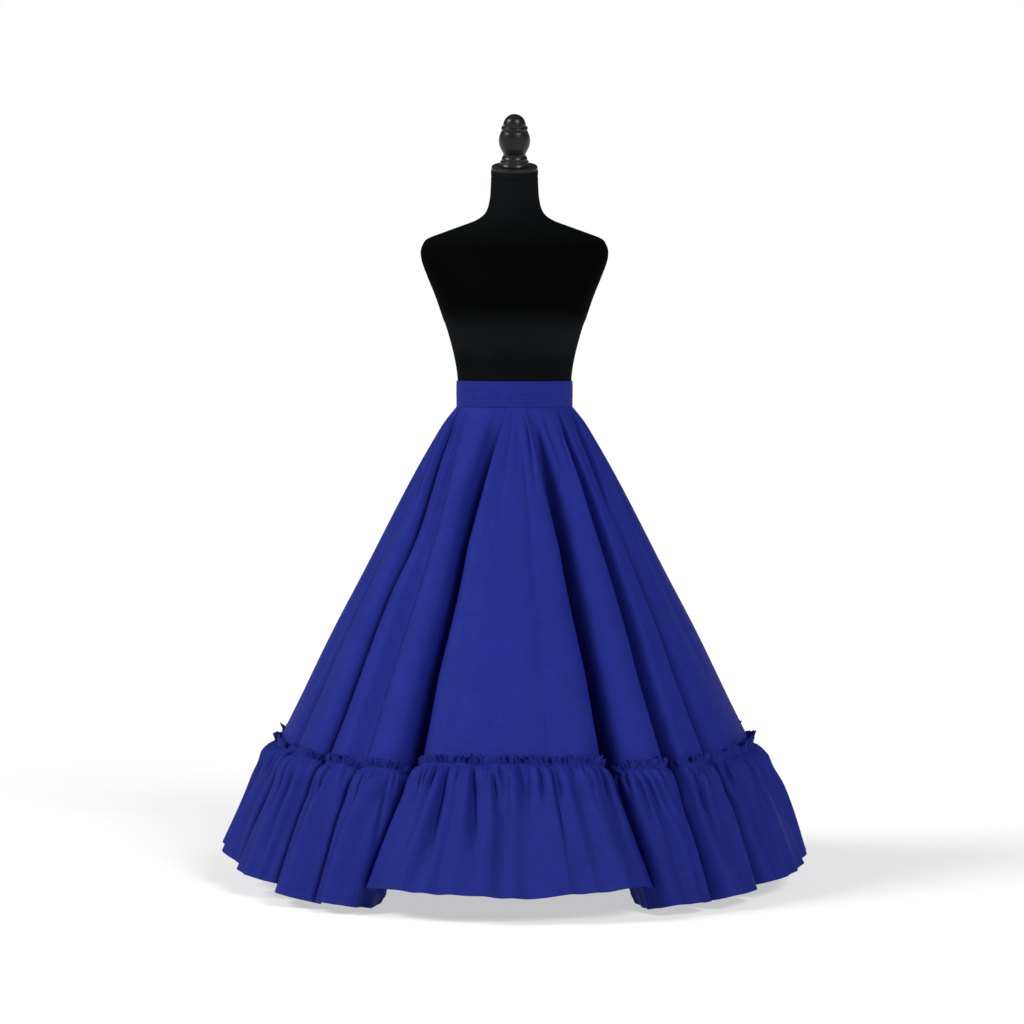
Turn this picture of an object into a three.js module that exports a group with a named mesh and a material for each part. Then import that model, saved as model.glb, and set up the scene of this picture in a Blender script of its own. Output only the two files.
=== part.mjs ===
// A long folk-dance circle skirt with a gathered hem ruffle, worn on a limbless dress form on its stand.
// Millimetres, +Z up. The front of the skirt faces -Y, and the origin is the centre of the stand's
// base on the floor. Azimuths run from the front (-Y), positive towards +X.
import * as THREE from "three";

// Heights above the floor, and the lengths of the cut pieces measured down the cloth.
const waistTop = 1024;
const bandHeight = 52.5;
const seamGap = 0.35;
const ruffleGap = 0.5;
const panelLength = 771;
const ruffleSeam = 768;
const headerHeight = 13;
const ruffleLength = 256;

// Cloth walls.
const panelThick = 1.6;
const ruffleThick = 1.2;
const bandThick = 2.2;

// The band closes at the centre back, where one end laps over the other and is buttoned.
const bandLap = 30;
const bandRamp = 16;
const buttonRadius = 8;
const buttonThick = 3;

// The stand under the form.
const poleRadius = 15;
const baseRadius = 165;
const baseThick = 12;
const hubRadius = 34;
const hubHeight = 46;

// The neck cap and its finial lean forward with the neck.
const neckTilt = 14.5;
const capRadius = 47;
const capThick = 7;

// Counts of facets. Each panel column carries one gather of the ruffle.
const panelColumns = 168;
const bandColumns = 56;
const formColumns = 48;
const turnedColumns = 28;

const colours = {
  cloth: 0x1f2a86,
  velvet: 0x0b0c0e,
  turnedWood: 0x1b1b1b,
  steel: 0x202124,
  button: 0x1b2370,
};

// The outermost folds: slant is measured down the cloth from the waistband's lower edge.
const envelope = [
  { slant: 0, halfWidth: 118, halfDepth: 86 },
  { slant: 40, halfWidth: 143, halfDepth: 107 },
  { slant: 80, halfWidth: 164, halfDepth: 127 },
  { slant: 150, halfWidth: 199, halfDepth: 161 },
  { slant: 230, halfWidth: 237, halfDepth: 199 },
  { slant: 375, halfWidth: 304, halfDepth: 267 },
  { slant: 525, halfWidth: 375, halfDepth: 337 },
  { slant: 670, halfWidth: 440, halfDepth: 402 },
  { slant: 780, halfWidth: 490, halfDepth: 452 },
  { slant: 900, halfWidth: 538, halfDepth: 504 },
  { slant: 1024, halfWidth: 584, halfDepth: 554 },
];

// The folds, at their azimuths by the waistband, at the ruffle's seam and at the hem. Depth is that at
// the seam. Lean moves a fold's bottom sideways under its neighbour, pinch draws its two lips together,
// and start is the slant where the fold begins.
const folds = [
  { atWaist: -169, atSeam: -169, atHem: -170, halfAngle: 11, depth: 90, lean: 0, pinch: 0.48, start: 30 },
  { atWaist: -149, atSeam: -149, atHem: -148, halfAngle: 11, depth: 96, lean: -0.1, pinch: 0.5, start: 15 },
  { atWaist: -132, atSeam: -130, atHem: -131, halfAngle: 9, depth: 66, lean: 0, pinch: 0.34, start: 40 },
  { atWaist: -112, atSeam: -111, atHem: -112, halfAngle: 11, depth: 92, lean: 0, pinch: 0.44, start: 20 },
  { atWaist: -93, atSeam: -95, atHem: -94, halfAngle: 7, depth: 42, lean: 0.1, pinch: 0.35, start: 60 },
  { atWaist: -80, atSeam: -69, atHem: -71, halfAngle: 6, depth: 15, lean: 0, pinch: 0.25, start: 60 },
  { atWaist: -68, atSeam: -54, atHem: -56.5, halfAngle: 11, depth: 96, lean: 0, pinch: 0.41, start: 10 },
  { atWaist: -28, atSeam: -36, atHem: -42, halfAngle: 6.5, depth: 18, lean: 0, pinch: 0.1, start: 40 },
  { atWaist: -14, atSeam: -24, atHem: -34, halfAngle: 11.5, depth: 106, lean: 0.3, pinch: 0.42, start: 8 },
  { atWaist: 12, atSeam: 24, atHem: 33.5, halfAngle: 10.5, depth: 102, lean: -0.15, pinch: 0.46, start: 10 },
  { atWaist: 52, atSeam: 41, atHem: 45.5, halfAngle: 7.5, depth: 50, lean: -0.1, pinch: 0.4, start: 5 },
  { atWaist: 66, atSeam: 54, atHem: 58.5, halfAngle: 10, depth: 90, lean: 0.1, pinch: 0.44, start: 30 },
  { atWaist: 98, atSeam: 99, atHem: 98, halfAngle: 12, depth: 98, lean: -0.1, pinch: 0.52, start: 20 },
  { atWaist: 116, atSeam: 118, atHem: 119, halfAngle: 8, depth: 50, lean: 0, pinch: 0.42, start: 60 },
  { atWaist: 137, atSeam: 137, atHem: 136, halfAngle: 12, depth: 108, lean: 0.1, pinch: 0.52, start: 10 },
  { atWaist: 160, atSeam: 160, atHem: 160, halfAngle: 10, depth: 76, lean: -0.1, pinch: 0.48, start: 40 },
];
// How much lower than its even cut the cloth hangs at the ruffle's seam and at the hem. The ruffle is
// drawn up again in the bottoms of the folds, by foldLift of their depth.
const drops = [
  { azimuth: -180, atSeam: 4, atHem: 0 },
  { azimuth: -130, atSeam: 8, atHem: 15 },
  { azimuth: -88, atSeam: 14, atHem: -8 },
  { azimuth: -45, atSeam: 20, atHem: 34 },
  { azimuth: 0, atSeam: 0, atHem: 10 },
  { azimuth: 42, atSeam: 20, atHem: 32 },
  { azimuth: 90, atSeam: 16, atHem: 12 },
  { azimuth: 130, atSeam: 4, atHem: -6 },
  { azimuth: 180, atSeam: 4, atHem: 0 },
];
const waistDrift = 320;
const foldLift = 0.28;

// The form's rings: height above the waistband's top, half width, depth to the front and to the back.
const formRings = [
  { above: -262, halfWidth: 158, front: 108, back: 112 },
  { above: -225, halfWidth: 164, front: 113, back: 118 },
  { above: -165, halfWidth: 158, front: 108, back: 112 },
  { above: -105, halfWidth: 138, front: 97, back: 96 },
  { above: -55, halfWidth: 116.4, front: 84.4, back: 84.4 },
  { above: 0, halfWidth: 116.4, front: 84.4, back: 84.4 },
  { above: 42, halfWidth: 122, front: 89, back: 87 },
  { above: 91, halfWidth: 134, front: 104, back: 93 },
  { above: 140, halfWidth: 149.5, front: 120, back: 99 },
  { above: 176, halfWidth: 162, front: 125, back: 103 },
  { above: 214, halfWidth: 177.5, front: 112, back: 104 },
  { above: 245, halfWidth: 188.5, front: 92, back: 100 },
  { above: 265, halfWidth: 190.5, front: 78, back: 93 },
  { above: 279, halfWidth: 187, front: 70, back: 86 },
  { above: 290, halfWidth: 178, front: 65, back: 79 },
  { above: 303, halfWidth: 145, front: 61, back: 70 },
  { above: 316, halfWidth: 109, front: 58, back: 61 },
  { above: 328, halfWidth: 78, front: 56, back: 53 },
  { above: 342, halfWidth: 60, front: 53, back: 47 },
  { above: 366, halfWidth: 51.5, front: 51, back: 45.5 },
  { above: 400, halfWidth: 48.5, front: 51, back: 46 },
  { above: 432, halfWidth: 48, front: 51, back: 46 },
];
const shoulderAbove = 266;
const neckTopAbove = 432;
const neckForward = 4;

// Turned finial, in radius and height above the neck cap.
const finialProfile = [
  { radius: 0, height: 0.3 },
  { radius: 31, height: 0.3 },
  { radius: 31.6, height: 3 },
  { radius: 29.6, height: 6.5 },
  { radius: 28.8, height: 10 },
  { radius: 26.2, height: 13 },
  { radius: 26, height: 17 },
  { radius: 23.2, height: 22 },
  { radius: 22.8, height: 25.5 },
  { radius: 25.5, height: 31 },
  { radius: 30.2, height: 41 },
  { radius: 32, height: 52 },
  { radius: 30.6, height: 62 },
  { radius: 27, height: 71 },
  { radius: 25.6, height: 74 },
  { radius: 27, height: 78.5 },
  { radius: 25.8, height: 81.5 },
  { radius: 23.2, height: 84 },
  { radius: 22.2, height: 90 },
  { radius: 18.6, height: 97.5 },
  { radius: 12, height: 103.5 },
  { radius: 0, height: 107 },
];

const radians = THREE.MathUtils.degToRad;
const mix = THREE.MathUtils.lerp;
const material = (colour, roughness, metalness = 0) =>
  new THREE.MeshStandardMaterial({ color: colour, roughness, metalness });

// Smooth reading of a table's column between its rows.
function column(table, key, value, at) {
  const last = table.length - 1;
  let i = table.findIndex((row) => row[key] > at);
  if (i < 0) i = last;
  i = Math.max(1, i);
  const [before, low] = [table[Math.max(0, i - 2)], table[i - 1]];
  const [high, after] = [table[i], table[Math.min(last, i + 1)]];
  const span = high[key] - low[key];
  const t = (at - low[key]) / span;
  const slopeLow = (high[value] - before[value]) / (high[key] - before[key]);
  const slopeHigh = (after[value] - low[value]) / (after[key] - low[key]);
  const [t2, t3] = [t * t, t * t * t];
  return (
    (2 * t3 - 3 * t2 + 1) * low[value] +
    (t3 - 2 * t2 + t) * span * slopeLow +
    (3 * t2 - 2 * t3) * high[value] +
    (t3 - t2) * span * slopeHigh
  );
}

// Where the cloth that lies at this azimuth at the ruffle's seam lies at another height.
function carried(azimuth, height) {
  const ring = [{ atSeam: -180, [height]: -180 }, ...folds, { atSeam: 180, [height]: 180 }];
  const i = Math.max(1, ring.findIndex((row) => row.atSeam >= azimuth));
  const [low, high] = [ring[i - 1], ring[i]];
  const t = (azimuth - low.atSeam) / (high.atSeam - low.atSeam);
  return mix(low[height], high[height], t);
}

// A point of the draped cloth: its place seen from above, and how far it has sunk into a fold.
function draped(azimuth, slant) {
  const nearWaist = Math.max(0, 1 - slant / waistDrift) ** 2;
  const nearHem = Math.max(0, (slant - ruffleSeam) / ruffleLength);
  let angle = mix(azimuth, carried(azimuth, "atWaist"), nearWaist);
  angle = mix(angle, carried(azimuth, "atHem"), nearHem);
  let sink = 0;
  for (const fold of folds) {
    const away = ((azimuth - fold.atSeam + 540) % 360) - 180;
    const t = away / fold.halfAngle;
    if (Math.abs(t) >= 1) continue;
    const grown = Math.max(0, slant - fold.start) / (ruffleSeam - fold.start);
    const open = Math.min(1, grown * 2.5);
    const hollow = 0.5 + 0.5 * Math.cos(Math.PI * Math.abs(t) ** 1.2);
    const lips = Math.sign(t) * Math.sin(Math.PI * t * t);
    sink += fold.depth * grown * hollow;
    angle += fold.halfAngle * open * (fold.lean * hollow - fold.pinch * lips);
  }
  const x = (column(envelope, "slant", "halfWidth", slant) - sink) * Math.sin(radians(angle));
  const y = -(column(envelope, "slant", "halfDepth", slant) - sink) * Math.cos(radians(angle));
  return [x, y, sink];
}

// One meridian of the draped cloth: its points at the given slants, each as far down the cloth as
// its slant says, so that cloth which swings out further ends higher.
function meridian(azimuth, slants) {
  const step = 8;
  const points = [];
  let at = 0;
  const seamDrop = column(drops, "azimuth", "atSeam", azimuth);
  const hemDrop = column(drops, "azimuth", "atHem", azimuth);
  let height = waistTop - bandHeight - seamGap;
  let [x, y, sink] = draped(azimuth, 0);
  for (const slant of slants) {
    const steps = Math.ceil((slant - at) / step);
    for (let i = 1; i <= steps; i++) {
      const next = at + ((slant - at) * i) / steps;
      const length = (slant - at) / steps;
      const [nx, ny, ns] = draped(azimuth, next);
      height -= Math.sqrt(Math.max(0, length ** 2 - (nx - x) ** 2 - (ny - y) ** 2));
      [x, y, sink] = [nx, ny, ns];
    }
    at = slant;
    const onPanel = Math.min(1, slant / ruffleSeam) ** 2;
    const onRuffle = Math.max(0, (slant - ruffleSeam) / ruffleLength);
    const drop = mix(seamDrop * onPanel, hemDrop - foldLift * sink, onRuffle);
    points.push(new THREE.Vector3(x, y, height - drop));
  }
  return points;
}

// The seams between the cut pieces, as azimuths at the ruffle seam, from the left side round. The
// front piece is cut on the fold, and the back has a seam near its centre.
const seams = [
  { azimuth: -83, column: 0 },
  { azimuth: 78, column: 76 },
  { azimuth: 175, column: 122 },
  { azimuth: 277, column: panelColumns },
];
const cuts = ["front", "back_right", "back_left"].map((name, i) => ({
  name,
  from: seams[i].column,
  to: seams[i + 1].column,
}));

// Azimuths of the panel columns, evenly spaced along the folded contour from seam to seam.
function evenAzimuths() {
  const samples = 2880;
  const lengths = [0];
  const azimuthOf = (i) => seams[0].azimuth + (360 * i) / samples;
  const sampleOf = (azimuth) => Math.round(((azimuth - seams[0].azimuth) * samples) / 360);
  const wrapAzimuth = (a) => (a > 180 ? a - 360 : a);
  let last = draped(wrapAzimuth(azimuthOf(0)), ruffleSeam);
  for (let i = 1; i <= samples; i++) {
    const next = draped(wrapAzimuth(azimuthOf(i)), ruffleSeam);
    lengths.push(lengths[i - 1] + Math.hypot(next[0] - last[0], next[1] - last[1]));
    last = next;
  }
  const marks = seams.map((seam) => ({ sample: sampleOf(seam.azimuth), column: seam.column }));
  const azimuths = [];
  for (let m = 1; m < marks.length; m++) {
    const [low, high] = [marks[m - 1], marks[m]];
    for (let c = low.column; c < high.column; c++) {
      const share = (c - low.column) / (high.column - low.column);
      const goal = mix(lengths[low.sample], lengths[high.sample], share);
      const i = Math.max(1, lengths.findIndex((length) => length >= goal));
      const t = (goal - lengths[i - 1]) / (lengths[i] - lengths[i - 1]);
      azimuths.push(wrapAzimuth(azimuthOf(i - 1 + t)));
    }
  }
  return azimuths;
}

// How far each point of a closed row can move out before it meets the cloth across its fold.
function roomOutside(row, normals) {
  const reach = 16;
  return row.map((p, c) => {
    let room = Infinity;
    for (let k = -reach; k <= reach; k++) {
      const toOther = row[(c + k + row.length) % row.length].clone().sub(p);
      const facing = toOther.dot(normals[c]);
      if (facing > 0) room = Math.min(room, toOther.lengthSq() / (2 * facing));
    }
    return room;
  });
}

// Outward normals of a closed grid of rows from the top down.
function gridNormals(rows) {
  return rows.map((row, r) =>
    row.map((_, c) => {
      const count = row.length;
      const across = row[(c + 1) % count].clone().sub(row[(c + count - 1) % count]);
      const above = rows[Math.max(0, r - 1)][c];
      const below = rows[Math.min(rows.length - 1, r + 1)][c];
      return across.cross(above.clone().sub(below)).normalize();
    }),
  );
}

// A closed solid between outer and inner rows of points, which run from the top row down.
// Neighbouring rows may hold different counts of points.
function wallGeometry(outer, inner) {
  const positions = [];
  const triangle = (a, b, c) => {
    for (const p of [a, b, c]) positions.push(p.x, p.y, p.z);
  };
  // Both faces are cut into the same triangles, so that the wall keeps its thickness.
  const ribbon = (up, down, face) => {
    let [i, j] = [0, 0];
    while (i < up.length - 1 || j < down.length - 1) {
      const nextUp = (i + 1) / (up.length - 1);
      const nextDown = (j + 1) / (down.length - 1);
      if (j >= down.length - 1 || (i < up.length - 1 && nextUp <= nextDown + 1e-9)) {
        face(up[i], down[j], up[i + 1]);
        i += 1;
      } else {
        face(up[i], down[j], down[j + 1]);
        j += 1;
      }
    }
  };
  for (let r = 1; r < outer.length; r++) {
    ribbon(outer[r - 1], outer[r], triangle);
    ribbon(inner[r - 1], inner[r], (a, b, c) => triangle(a, c, b));
  }
  const last = outer.length - 1;
  ribbon(inner[0], outer[0], triangle);
  ribbon(outer[last], inner[last], triangle);
  for (let r = 1; r < outer.length; r++) {
    for (const [end, flip] of [[0, false], [-1, true]]) {
      const corners = [outer[r - 1], inner[r - 1], inner[r], outer[r]].map((row) => row.at(end));
      const [a, b, c, d] = flip ? [...corners].reverse() : corners;
      triangle(a, b, c);
      triangle(a, c, d);
    }
  }
  const geometry = new THREE.BufferGeometry();
  geometry.setAttribute("position", new THREE.Float32BufferAttribute(positions, 3));
  geometry.computeVertexNormals();
  return geometry;
}

// Rows moved out along their normals, by a distance for each row.
const movedOut = (rows, normals, distances) =>
  rows.map((row, r) => row.map((p, c) => p.clone().addScaledVector(normals[r][c], distances[r])));

// The run of a closed row from one column to another, with its two ends drawn in for the seams.
function seamedRun(row, from, to) {
  const run = [];
  for (let c = from; c <= to; c++) run.push(row[c % row.length].clone());
  const drawIn = seamGap / 2;
  const last = run.length - 1;
  const inward = (a, b) => b.clone().sub(a).setLength(drawIn);
  const [first, final] = [inward(run[0], run[1]), inward(run[last], run[last - 1])];
  run[0].add(first);
  run[last].add(final);
  return run;
}

const clothMaterial = material(colours.cloth, 0.75);
const azimuths = evenAzimuths();

const panelSlants = [0, 26, 80, 190, 350, 550, ruffleSeam - headerHeight, panelLength];
const coarseRows = 3;
const panelRows = panelSlants.map(() => []);
for (const azimuth of azimuths) {
  meridian(azimuth, panelSlants).forEach((point, r) => panelRows[r].push(point));
}
const panelNormals = gridNormals(panelRows);
// The top edge thickens level, so that it keeps its gap below the waistband.
panelNormals[0].forEach((n) => n.setZ(0).normalize());

function skirtPanels() {
  const halfWall = panelSlants.map(() => panelThick / 2);
  const outer = movedOut(panelRows, panelNormals, halfWall);
  const inner = movedOut(panelRows, panelNormals, halfWall.map((d) => -d));
  return cuts.map(({ name, from, to }) => {
    // The rows near the waist, where the columns crowd, keep every second one.
    const [out, back] = [outer, inner].map((rows) =>
      rows.map((row, r) =>
        seamedRun(row, from, to).filter((_, c) => r >= coarseRows || c % 2 === 0),
      ),
    );
    const mesh = new THREE.Mesh(wallGeometry(out, back), clothMaterial);
    mesh.name = `skirt_${name}`;
    return mesh;
  });
}

// The ruffle is laid over the foot of the panels and stitched 13 mm below its own top edge, so that
// the edge stands up as a small frilled header. One gather stands on each panel column: the trough is
// at the column and the crest halfway to the next.
const clearOfPanel = panelThick / 2 + ruffleGap + ruffleThick / 2;
const gatherRows = [
  { below: -headerHeight, trough: 3.2, crest: 9 },
  { below: 0, trough: clearOfPanel, crest: clearOfPanel + 1.8 },
  { below: 34, trough: 3, crest: 12 },
];
const waveRows = [
  { below: 98, swell: 7, standOff: 7 },
  { below: 178, swell: 8.5, standOff: 8 },
  { below: ruffleLength, swell: 10, standOff: 8 },
];
const swellColumns = 4;
const usedRoom = 0.6;

// An uneven share from 0 to 1 for each gather, the same each time.
const uneven = (c) => 0.5 + 0.28 * Math.sin(2.4 * c) + 0.22 * Math.sin(5.1 * c + 1);

function halved(row) {
  return row.flatMap((p, c) => [p.clone(), p.clone().lerp(row[(c + 1) % row.length], 0.5)]);
}

function ruffleRows() {
  const slants = [...gatherRows, ...waveRows].map((row) => ruffleSeam + row.below);
  const rows = slants.map(() => []);
  for (const azimuth of azimuths) {
    meridian(azimuth, slants).forEach((point, r) => rows[r].push(point));
  }
  // The header and the stitching line lie on the panels' own facets.
  const [headerRow, footRow] = [panelRows.length - 2, panelRows.length - 1];
  const share = headerHeight / (panelLength - ruffleSeam + headerHeight);
  rows[0] = panelRows[headerRow].map((p) => p.clone());
  rows[1] = panelRows[headerRow].map((p, c) => p.clone().lerp(panelRows[footRow][c], share));
  const normals = gridNormals(rows);
  normals[0] = panelNormals[headerRow].map((n) => n.clone());
  normals[1] = panelNormals[footRow].map((n) => n.clone());
  const mid = [];
  const out = [];
  gatherRows.forEach(({ trough, crest }, r) => {
    const points = halved(rows[r]);
    const facing = halved(normals[r]).map((n) => n.normalize());
    const room = roomOutside(points, facing);
    const moved = points.map((p, c) => {
      const most = Math.max(clearOfPanel, room[c] * usedRoom - ruffleThick);
      const height = c % 2 ? mix(trough, crest, 0.45 + 0.55 * uneven(c)) : trough;
      return p.clone().addScaledVector(facing[c], Math.min(height, most));
    });
    mid.push(moved);
    out.push(facing);
  });
  waveRows.forEach(({ swell, standOff }, w) => {
    const r = gatherRows.length + w;
    const room = roomOutside(rows[r], normals[r]);
    const points = rows[r].map((p, c) => {
      const drift = 1.3 * Math.sin((2 * Math.PI * c * 5) / panelColumns);
      const phase = (2 * Math.PI * c) / swellColumns + drift;
      const most = room[c] * usedRoom - ruffleThick;
      const distance = Math.min(standOff + swell * Math.sin(phase), most);
      return p.clone().addScaledVector(normals[r][c], distance);
    });
    mid.push(points);
    out.push(normals[r]);
  });
  return { mid, out };
}

function ruffles() {
  const { mid, out } = ruffleRows();
  const halfWall = mid.map(() => ruffleThick / 2);
  const outer = movedOut(mid, out, halfWall);
  const inner = movedOut(mid, out, halfWall.map((d) => -d));
  return cuts.map(({ name, from, to }) => {
    const [faces, backs] = [outer, inner].map((rows) =>
      rows.map((row) => {
        const fine = row.length / panelColumns;
        return seamedRun(row, from * fine, to * fine);
      }),
    );
    const mesh = new THREE.Mesh(wallGeometry(faces, backs), clothMaterial);
    mesh.name = `ruffle_${name}`;
    return mesh;
  });
}

// A ring of the form: an egg-shaped section, squarer at the shoulders, leaning forward up the neck.
function formRing({ above, halfWidth, front, back }) {
  const lean = THREE.MathUtils.smoothstep(above, shoulderAbove + 40, neckTopAbove);
  const points = [];
  for (let c = 0; c < formColumns; c++) {
    const angle = (2 * Math.PI * c) / formColumns;
    const [sin, cos] = [Math.sin(angle), Math.cos(angle)];
    const y = -(cos > 0 ? front : back) * cos - neckForward * lean;
    points.push(
      new THREE.Vector3(halfWidth * sin, y, waistTop + above + y * Math.tan(radians(neckTilt)) * lean),
    );
  }
  return points;
}

// A closed solid through rings of equal count, from the bottom ring up, with flat ends.
function loftGeometry(rings) {
  const positions = [];
  const triangle = (a, b, c) => {
    for (const p of [a, b, c]) positions.push(p.x, p.y, p.z);
  };
  const count = rings[0].length;
  const centre = (ring) =>
    ring.reduce((sum, p) => sum.add(p), new THREE.Vector3()).divideScalar(count);
  const [lowest, highest] = [centre(rings[0]), centre(rings.at(-1))];
  for (let c = 0; c < count; c++) {
    const d = (c + 1) % count;
    triangle(rings[0][d], rings[0][c], lowest);
    triangle(rings.at(-1)[c], rings.at(-1)[d], highest);
    for (let r = 1; r < rings.length; r++) {
      triangle(rings[r - 1][c], rings[r - 1][d], rings[r][d]);
      triangle(rings[r - 1][c], rings[r][d], rings[r][c]);
    }
  }
  const geometry = new THREE.BufferGeometry();
  geometry.setAttribute("position", new THREE.Float32BufferAttribute(positions, 3));
  geometry.computeVertexNormals();
  return geometry;
}

function torso() {
  const mesh = new THREE.Mesh(loftGeometry(formRings.map(formRing)), material(colours.velvet, 0.95));
  mesh.name = "form_torso";
  return mesh;
}

// The band wraps the form's waist ring from the centre back round to the centre back and on over its
// own beginning.
function waistband() {
  const waist = formRings.find((row) => row.above === 0);
  const clear = seamGap + bandThick / 2;
  const round = Math.PI * (waist.halfWidth + waist.front);
  const lapTurn = (360 * bandLap) / round;
  const rampTurn = (360 * bandRamp) / round;
  const turns = [];
  for (let c = 0; c <= bandColumns; c++) turns.push(-180 + (360 * c) / bandColumns);
  turns[0] += lapTurn / 4;
  turns.push(180 + lapTurn * 0.5);
  const section = (turn, height, side) => {
    const over = THREE.MathUtils.smoothstep(turn, 180 - lapTurn / 2 - rampTurn, 180 - lapTurn / 2);
    const out = clear + over * (bandThick + seamGap) + side * (bandThick / 2);
    const [sin, cos] = [Math.sin(radians(turn)), Math.cos(radians(turn))];
    const x = (waist.halfWidth + out) * sin;
    return new THREE.Vector3(x, -(waist.front + out) * cos, height);
  };
  const heights = [waistTop, waistTop - bandHeight];
  const [outer, inner] = [1, -1].map((side) =>
    heights.map((height) => turns.map((turn) => section(turn, height, side))),
  );
  const mesh = new THREE.Mesh(wallGeometry(outer, inner), clothMaterial);
  mesh.name = "waistband";
  return mesh;
}

function backButton() {
  const waist = formRings.find((row) => row.above === 0);
  const face = waist.back + 2 * seamGap + 2 * bandThick + seamGap;
  const shape = new THREE.CylinderGeometry(buttonRadius, buttonRadius, buttonThick, turnedColumns);
  const mesh = new THREE.Mesh(shape, material(colours.button, 0.4));
  mesh.position.set(0, face + buttonThick / 2, waistTop - bandHeight / 2);
  mesh.name = "waistband_button";
  return mesh;
}

// The cap and the finial stand square to the leaning neck.
function neckCap() {
  const cap = new THREE.Group();
  const plate = new THREE.Mesh(
    new THREE.CylinderGeometry(capRadius, capRadius, capThick, turnedColumns),
    material(colours.turnedWood, 0.4),
  );
  plate.rotation.x = Math.PI / 2;
  plate.position.z = seamGap + capThick / 2;
  plate.name = "form_neck_cap";
  const outline = finialProfile.map(({ radius, height }) => new THREE.Vector2(radius, height));
  const finial = new THREE.Mesh(
    new THREE.LatheGeometry(outline, turnedColumns),
    material(colours.turnedWood, 0.3),
  );
  finial.rotation.x = Math.PI / 2;
  finial.position.z = seamGap + capThick;
  finial.name = "form_finial";
  cap.add(plate, finial);
  cap.rotation.x = radians(neckTilt);
  const neck = formRings.at(-1);
  const middle = (neck.back - neck.front) / 2 - neckForward;
  cap.position.set(0, middle, waistTop + neck.above + middle * Math.tan(radians(neckTilt)));
  return cap;
}

function stand() {
  const steel = material(colours.steel, 0.5, 0.6);
  const underForm = waistTop + formRings[0].above;
  const foot = baseThick + hubHeight;
  const poleLength = underForm - foot - 2 * seamGap;
  const pole = new THREE.Mesh(
    new THREE.CylinderGeometry(poleRadius, poleRadius, poleLength, turnedColumns),
    steel,
  );
  pole.rotation.x = Math.PI / 2;
  pole.position.z = foot + seamGap + poleLength / 2;
  pole.name = "stand_pole";
  const bevel = 3;
  const outline = [
    [0, 0],
    [baseRadius, 0],
    [baseRadius, baseThick - bevel],
    [baseRadius - bevel, baseThick],
    [hubRadius, baseThick],
    [hubRadius - 2 * bevel, foot],
    [0, foot],
  ].map(([radius, height]) => new THREE.Vector2(radius, height));
  const base = new THREE.Mesh(new THREE.LatheGeometry(outline, formColumns), steel);
  base.rotation.x = Math.PI / 2;
  base.name = "stand_base";
  return [pole, base];
}

const skirtOnForm = new THREE.Group();
skirtOnForm.add(waistband(), backButton(), ...skirtPanels(), ...ruffles());
skirtOnForm.add(torso(), neckCap(), ...stand());

export default skirtOnForm;
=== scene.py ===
"""A long royal-blue folk-dance skirt with a gathered hem ruffle, on a black dress form on its stand.

Lengths in the tables are millimetres, and metres on the meshes. The front of the skirt faces -Y.
Slant is measured down the cloth from the waistband's lower edge, and azimuths run from the front,
positive towards +X, as the cloth lies at the ruffle's seam.
"""
import math

import bmesh
import bpy
import numpy as np
from mathutils import Matrix, Vector


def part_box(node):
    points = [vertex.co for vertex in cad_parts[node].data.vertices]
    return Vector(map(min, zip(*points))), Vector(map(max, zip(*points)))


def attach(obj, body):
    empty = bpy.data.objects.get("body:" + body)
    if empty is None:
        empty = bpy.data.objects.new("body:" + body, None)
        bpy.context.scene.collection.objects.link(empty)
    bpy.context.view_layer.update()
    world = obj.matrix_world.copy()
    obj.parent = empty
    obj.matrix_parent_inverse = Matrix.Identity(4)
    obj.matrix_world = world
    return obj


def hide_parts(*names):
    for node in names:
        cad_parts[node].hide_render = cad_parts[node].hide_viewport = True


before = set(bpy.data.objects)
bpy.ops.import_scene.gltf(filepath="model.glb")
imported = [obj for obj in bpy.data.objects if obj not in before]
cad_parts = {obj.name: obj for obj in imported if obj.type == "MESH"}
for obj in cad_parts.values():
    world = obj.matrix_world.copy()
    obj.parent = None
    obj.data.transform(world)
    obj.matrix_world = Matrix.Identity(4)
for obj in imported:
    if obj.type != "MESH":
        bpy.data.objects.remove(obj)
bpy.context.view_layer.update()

MM = 0.001

# The camera of the photograph: its distance, its height and the picture row of its horizon.
camera_distance = 6.9
camera_height = 1.175
focal_pixels = 3367
horizon_row = 306.8
middle_column = 514.5
picture_pixels = 1024

# Heights of the parts, and lengths down the cloth.
waist_top = 1024
band_height = 52.5
seam_gap = 0.35
panel_length = 776
ruffle_seam = 768
ruffle_length = 256
header_height = 15

# How the folds run: the slants by which they have drifted to their places at the seam, reached their
# whole width and ended their bow; their share of that width by the waistband, how fast their lips
# close, and how far the hem rises with a fold's depth.
waist_drift = 320
fold_spread_slant = 330
fold_bow_slant = 580
fold_share_at_waist = 0.42
lips_closing = 2.5
fold_lift = 0.28

# Cloth. Pitches are the spacing of the columns of its mesh along the ruffle's seam, and the lap is
# the number of columns of seam allowance behind the next piece.
panel_thick = 1.0
ruffle_thick = 0.7
band_thick = 2.2
band_cloth = 0.5
clear_of_panel = 1.9
panel_pitch = 4.8
ruffle_pitch = 2.2
stitch_pitch = 3.6
tucked_under_band = 5
seam_lap = 3
lap_depth = 2.4
seam_groove = 0.5

# The waistband's size, and its lap at the centre back.
waist_half_width = 116.4
waist_half_depth = 84.4
band_lap = 30
band_ramp = 16

# The form and its stand.
neck_tilt = math.radians(14.5)
neck_forward = 4
neck_top_above = 432
shoulder_above = 266
cap_radius = 47
cap_thick = 7
pole_radius = 15
base_radius = 165
base_thick = 12
hub_radius = 34
hub_height = 46

# The outermost folds: slant, half width, half depth.
envelope = np.array([
    (0, 118, 86), (40, 143, 107), (80, 164, 127), (150, 199, 161), (230, 237, 199),
    (375, 304, 267), (525, 375, 337), (670, 440, 402), (780, 490, 452), (900, 538, 504),
    (1024, 584, 554),
], float)

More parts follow.
